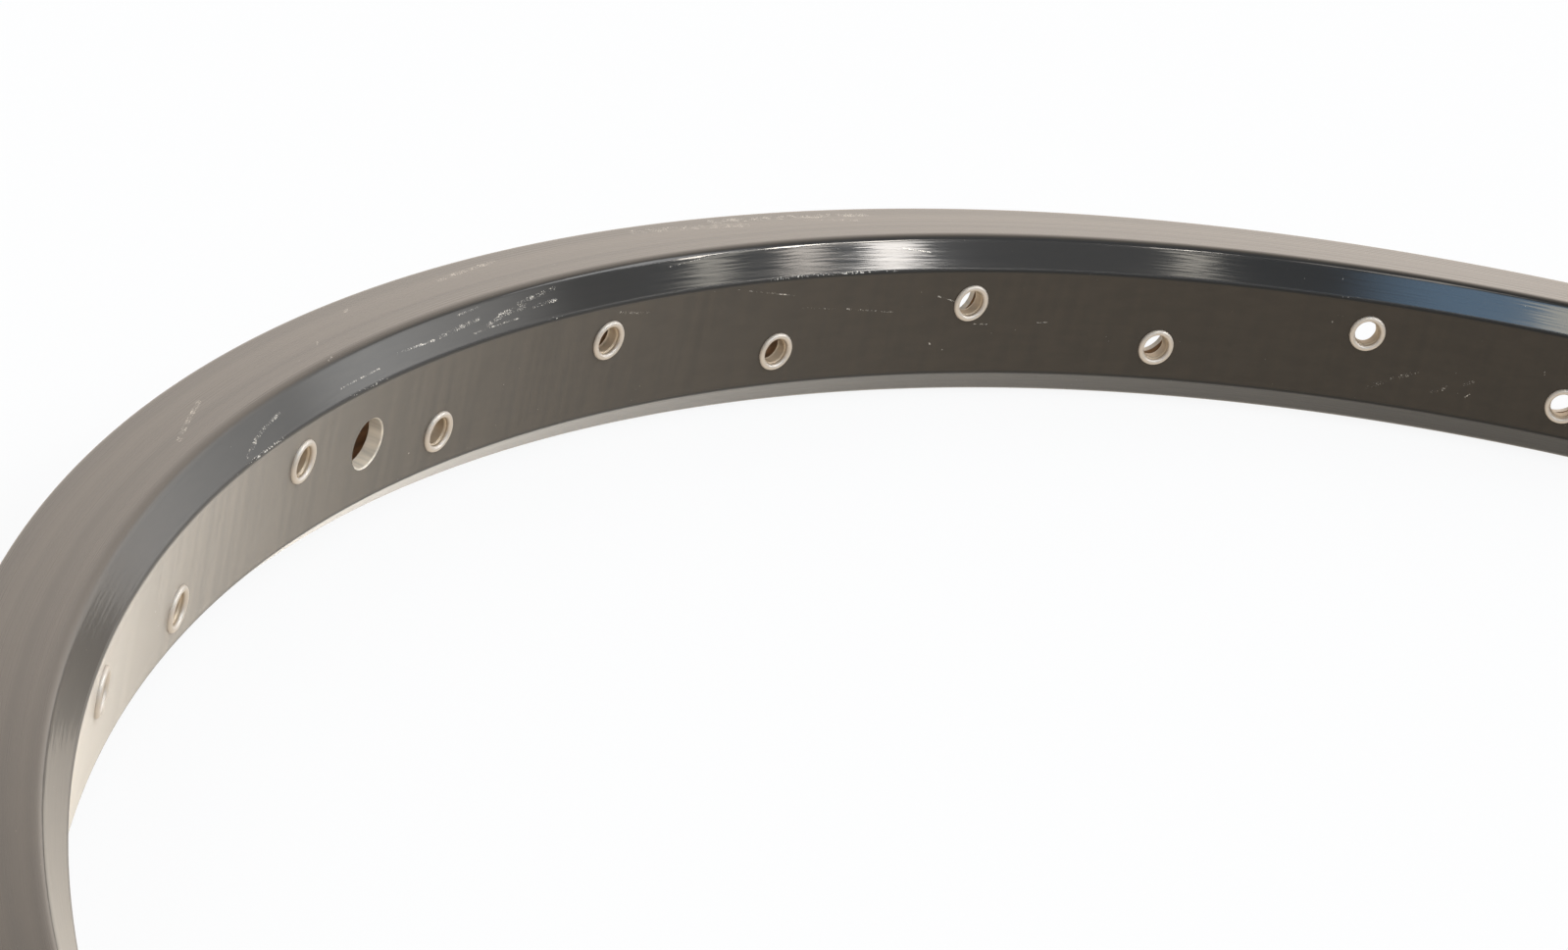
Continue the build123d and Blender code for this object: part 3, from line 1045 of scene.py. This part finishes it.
def make_dome():
    """World light: a soft dome with glows and windows, and white where the camera looks past the floor."""
    world = bpy.data.worlds.new("dome")
    bpy.context.scene.world = world
    tree = empty_tree(world)
    direction = node(tree, "ShaderNodeTexCoord").outputs["Generated"]
    parts = parts_of(direction)
    azimuth = calc("ARCTAN2", parts["Y"], parts["X"])
    elevation = calc("ARCSINE", parts["Z"])
    levels = node(tree, "ShaderNodeValToRGB", Fac=calc("DIVIDE", elevation, math.radians(ZENITH)))
    while len(levels.color_ramp.elements) < len(DOME_LEVELS):
        levels.color_ramp.elements.new(1.0)
    for stop, (rise, level) in zip(levels.color_ramp.elements, DOME_LEVELS):
        stop.position = rise / ZENITH
        stop.color = opaque(DOME_TINT, level)
    total = levels.outputs[0]
    for glow_azimuth, glow_elevation, middle, edge, glow in GLOWS:
        towards = vector_calc("DOT_PRODUCT", direction, heading(glow_azimuth, glow_elevation))
        share = ramp(towards, math.cos(math.radians(edge)), math.cos(math.radians(middle)))
        total = vector_calc("ADD", total, scaled(glow, share))
    for *limits, light in WINDOWS:
        total = vector_calc("ADD", total, window_light(azimuth, elevation, light, *limits))
    camera = node(tree, "ShaderNodeLightPath").outputs["Is Camera Ray"]
    shown = blend_colour(camera, total, WHITE)
    background = node(tree, "ShaderNodeBackground", Color=shown, Strength=1.0)
    node(tree, "ShaderNodeOutputWorld", Surface=background.outputs[0])


def make_camera():
    """Camera at the photograph's place, turned to its heading and roll, its picture shifted off its axis."""
    data = bpy.data.cameras.new("camera")
    data.sensor_fit = "HORIZONTAL"
    data.sensor_width = SENSOR_WIDTH
    data.lens = FOCAL_LENGTH_PIXELS / PICTURE_WIDTH * SENSOR_WIDTH
    data.shift_x = (PICTURE_WIDTH / 2 - PICTURE_AXIS[0]) / PICTURE_WIDTH
    data.shift_y = (PICTURE_AXIS[1] - PICTURE_HEIGHT / 2) / PICTURE_WIDTH
    data.clip_start = CLIP_START
    camera = bpy.data.objects.new("camera", data)
    look = heading(CAMERA_AZIMUTH, CAMERA_ELEVATION).to_track_quat("-Z", "Y")
    roll = Quaternion((0.0, 0.0, 1.0), math.radians(CAMERA_ROLL))
    camera.rotation_mode = "QUATERNION"
    camera.rotation_quaternion = look @ roll
    camera.location = CAMERA_PLACE
    bpy.context.scene.collection.objects.link(camera)
    bpy.context.scene.camera = camera


class RIM_OT_stage(bpy.types.Operator):
    """Set the floor, the light and the camera"""

    bl_idname = "rim.stage"
    bl_label = "Stage"

    def execute(self, context):
        settings = context.scene.rim_stage
        make_floor(settings)
        make_dome()
        make_camera()
        context.scene.view_settings.view_transform = "Standard"
        return {"FINISHED"}


class RIM_PT_panel(bpy.types.Panel):
    """Sidebar panel with the rim's sizes, colours and pieces"""

    bl_idname = "RIM_PT_panel"
    bl_label = "Bicycle rim"
    bl_space_type = "VIEW_3D"
    bl_region_type = "UI"
    bl_category = "Rim"

    def draw(self, context):
        for operator in OPERATORS:
            self.layout.operator(operator.bl_idname)
        for group in GROUPS:
            column = self.layout.column(align=True)
            settings = getattr(context.scene, group)
            for name in GROUPS[group].__annotations__:
                column.prop(settings, name)


OPERATORS = (RIM_OT_hoop, RIM_OT_eyelets, RIM_OT_sleeve, RIM_OT_stage)
GROUPS = {
    "rim_sizes": RimSizes,
    "rim_eyelet": EyeletSizes,
    "rim_finish": RimFinish,
    "rim_stage": StageSettings,
}


def register():
    for group in GROUPS:
        bpy.utils.register_class(GROUPS[group])
        setattr(bpy.types.Scene, group, PointerProperty(type=GROUPS[group]))
    for operator in OPERATORS:
        bpy.utils.register_class(operator)
    bpy.utils.register_class(RIM_PT_panel)


def unregister():
    bpy.utils.unregister_class(RIM_PT_panel)
    for operator in reversed(OPERATORS):
        bpy.utils.unregister_class(operator)
    for group in reversed(GROUPS):
        delattr(bpy.types.Scene, group)
        bpy.utils.unregister_class(GROUPS[group])


def main():
    """Registers the add-on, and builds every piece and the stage."""
    register()
    bpy.ops.rim.hoop()
    bpy.ops.rim.eyelets()
    bpy.ops.rim.sleeve()
    bpy.ops.rim.stage()


if __name__ == "__main__":
    main()
